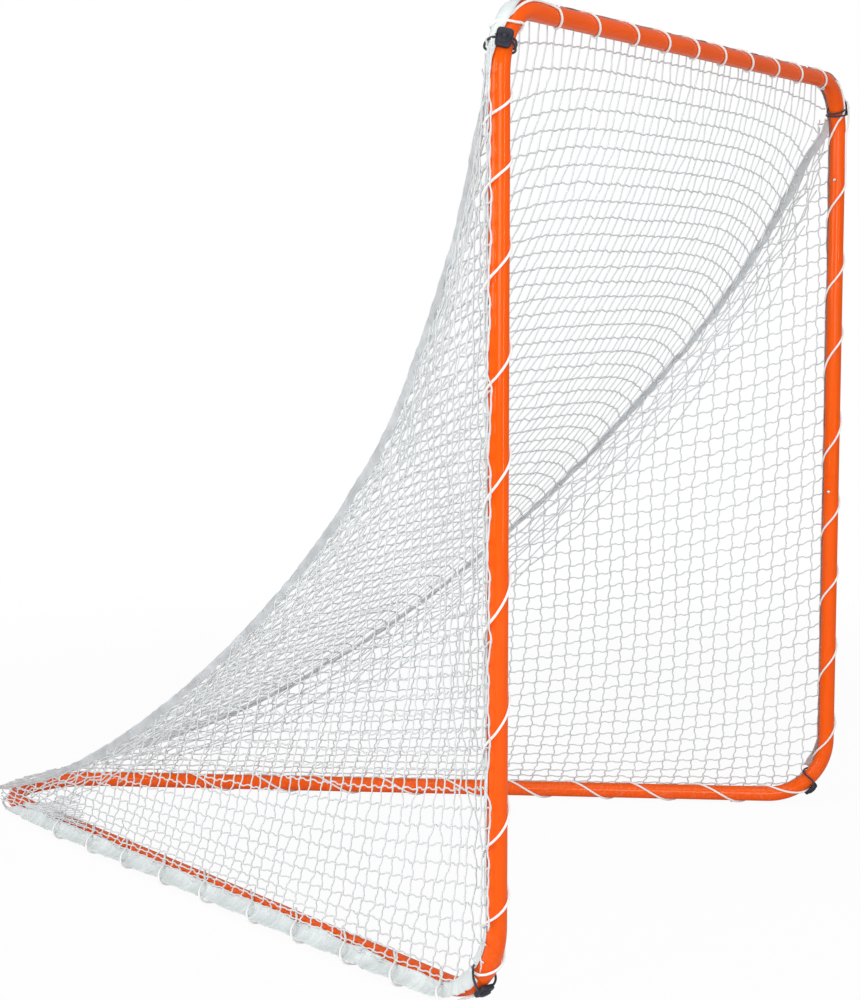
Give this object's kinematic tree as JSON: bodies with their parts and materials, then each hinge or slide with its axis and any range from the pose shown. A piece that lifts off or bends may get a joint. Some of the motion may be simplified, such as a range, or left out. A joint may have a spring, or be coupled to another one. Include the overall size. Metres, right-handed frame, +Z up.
{
  "type": "lacrosse goal",
  "caption": "Lacrosse goal: a sleeved round-tube frame with a square mouth and two ground legs that meet behind, under a laced square-mesh net",
  "frame": {"origin": "on the ground, midway between the two posts' axes", "axes": "+X along the crossbar, +Y back from the mouth into the net, +Z up"},
  "size_m": [1.9438, 1.9176, 1.879],
  "materials": {
    "frame_paint": "glossy orange powder coat on steel tube",
    "button_steel": "bright plated steel",
    "spring_steel": "spring steel strip",
    "net_twine": "knotted white twine",
    "lacing_cord": "braided white cord",
    "elastic_cord": "braided black elastic cord",
    "clip_plastic": "moulded black plastic"
  },
  "bodies": {
    "goal": {"crossbar_tube": "frame_paint", "top_corner_left": "frame_paint", "top_corner_right": "frame_paint", "post_tube_left": "frame_paint", "post_tube_right": "frame_paint", "bottom_corner_left": "frame_paint", "bottom_corner_right": "frame_paint", "leg_tube_left": "frame_paint", "leg_tube_right": "frame_paint", "rear_bend": "frame_paint", "snap_springs": "spring_steel", "net_back": "net_twine", "net_side_left": "net_twine", "net_side_right": "net_twine", "net_seam_left": "net_twine", "net_seam_right": "net_twine", "lacing_crossbar": "lacing_cord", "lacing_post_left": "lacing_cord", "lacing_post_right": "lacing_cord", "lacing_leg_left": "lacing_cord", "lacing_leg_right": "lacing_cord", "elastic_top_left": "elastic_cord", "elastic_top_right": "elastic_cord", "elastic_bottom_left": "elastic_cord", "elastic_bottom_right": "elastic_cord"},
    "button_crossbar_left_body": {"button_crossbar_left": "button_steel"},
    "button_crossbar_right_body": {"button_crossbar_right": "button_steel"},
    "button_post_left_upper_body": {"button_post_left_upper": "button_steel"},
    "button_post_right_upper_body": {"button_post_right_upper": "button_steel"},
    "button_post_left_lower_body": {"button_post_left_lower": "button_steel"},
    "button_post_right_lower_body": {"button_post_right_lower": "button_steel"},
    "button_leg_left_front_body": {"button_leg_left_front": "button_steel"},
    "button_leg_right_front_body": {"button_leg_right_front": "button_steel"},
    "button_leg_left_rear_body": {"button_leg_left_rear": "button_steel"},
    "button_leg_right_rear_body": {"button_leg_right_rear": "button_steel"},
    "clip_top_left_body": {"clip_top_left": "clip_plastic"},
    "clip_top_right_body": {"clip_top_right": "clip_plastic"},
    "clip_bottom_left_body": {"clip_bottom_left": "clip_plastic"},
    "clip_bottom_right_body": {"clip_bottom_right": "clip_plastic"}
  },
  "joints": [
    {"name": "press_crossbar_left", "type": "slide", "parent": "goal", "child": "button_crossbar_left_body", "axis": [0, 0, -1], "range_m": [0, 0.0065], "stiffness_N_per_m": 1500, "deforming": ["snap_springs"]},
    {"name": "press_crossbar_right", "type": "slide", "parent": "goal", "child": "button_crossbar_right_body", "axis": [0, 0, -1], "range_m": [0, 0.0065], "stiffness_N_per_m": 1500, "deforming": ["snap_springs"]},
    {"name": "press_post_left_upper", "type": "slide", "parent": "goal", "child": "button_post_left_upper_body", "axis": [-1, 0, 0], "range_m": [0, 0.0065], "stiffness_N_per_m": 1500, "deforming": ["snap_springs"]},
    {"name": "press_post_right_upper", "type": "slide", "parent": "goal", "child": "button_post_right_upper_body", "axis": [1, 0, 0], "range_m": [0, 0.0065], "stiffness_N_per_m": 1500, "deforming": ["snap_springs"]},
    {"name": "press_post_left_lower", "type": "slide", "parent": "goal", "child": "button_post_left_lower_body", "axis": [-1, 0, 0], "range_m": [0, 0.0065], "stiffness_N_per_m": 1500, "deforming": ["snap_springs"]},
    {"name": "press_post_right_lower", "type": "slide", "parent": "goal", "child": "button_post_right_lower_body", "axis": [1, 0, 0], "range_m": [0, 0.0065], "stiffness_N_per_m": 1500, "deforming": ["snap_springs"]},
    {"name": "press_leg_left_front", "type": "slide", "parent": "goal", "child": "button_leg_left_front_body", "axis": [0, 0, 1], "range_m": [0, 0.0065], "stiffness_N_per_m": 1500, "deforming": ["snap_springs"]},
    {"name": "press_leg_right_front", "type": "slide", "parent": "goal", "child": "button_leg_right_front_body", "axis": [0, 0, 1], "range_m": [0, 0.0065], "stiffness_N_per_m": 1500, "deforming": ["snap_springs"]},
    {"name": "press_leg_left_rear", "type": "slide", "parent": "goal", "child": "button_leg_left_rear_body", "axis": [0, 0, 1], "range_m": [0, 0.0065], "stiffness_N_per_m": 1500, "deforming": ["snap_springs"]},
    {"name": "press_leg_right_rear", "type": "slide", "parent": "goal", "child": "button_leg_right_rear_body", "axis": [0, 0, 1], "range_m": [0, 0.0065], "stiffness_N_per_m": 1500, "deforming": ["snap_springs"]},
    {"name": "pull_clip_top_left", "type": "slide", "parent": "goal", "child": "clip_top_left_body", "axis": [-0.7861, -0.4848, 0.3834], "range_m": [0, 0.02], "stiffness_N_per_m": 400, "deforming": ["elastic_top_left"]},
    {"name": "pull_clip_top_right", "type": "slide", "parent": "goal", "child": "clip_top_right_body", "axis": [0.7861, -0.4848, 0.3834], "range_m": [0, 0.02], "stiffness_N_per_m": 400, "deforming": ["elastic_top_right"]},
    {"name": "pull_clip_bottom_left", "type": "slide", "parent": "goal", "child": "clip_bottom_left_body", "axis": [-0.2576, -0.5889, -0.766], "range_m": [0, 0.02], "stiffness_N_per_m": 400, "deforming": ["elastic_bottom_left"]},
    {"name": "pull_clip_bottom_right", "type": "slide", "parent": "goal", "child": "clip_bottom_right_body", "axis": [0.2576, -0.5889, -0.766], "range_m": [0, 0.02], "stiffness_N_per_m": 400, "deforming": ["elastic_bottom_right"]}
  ]
}
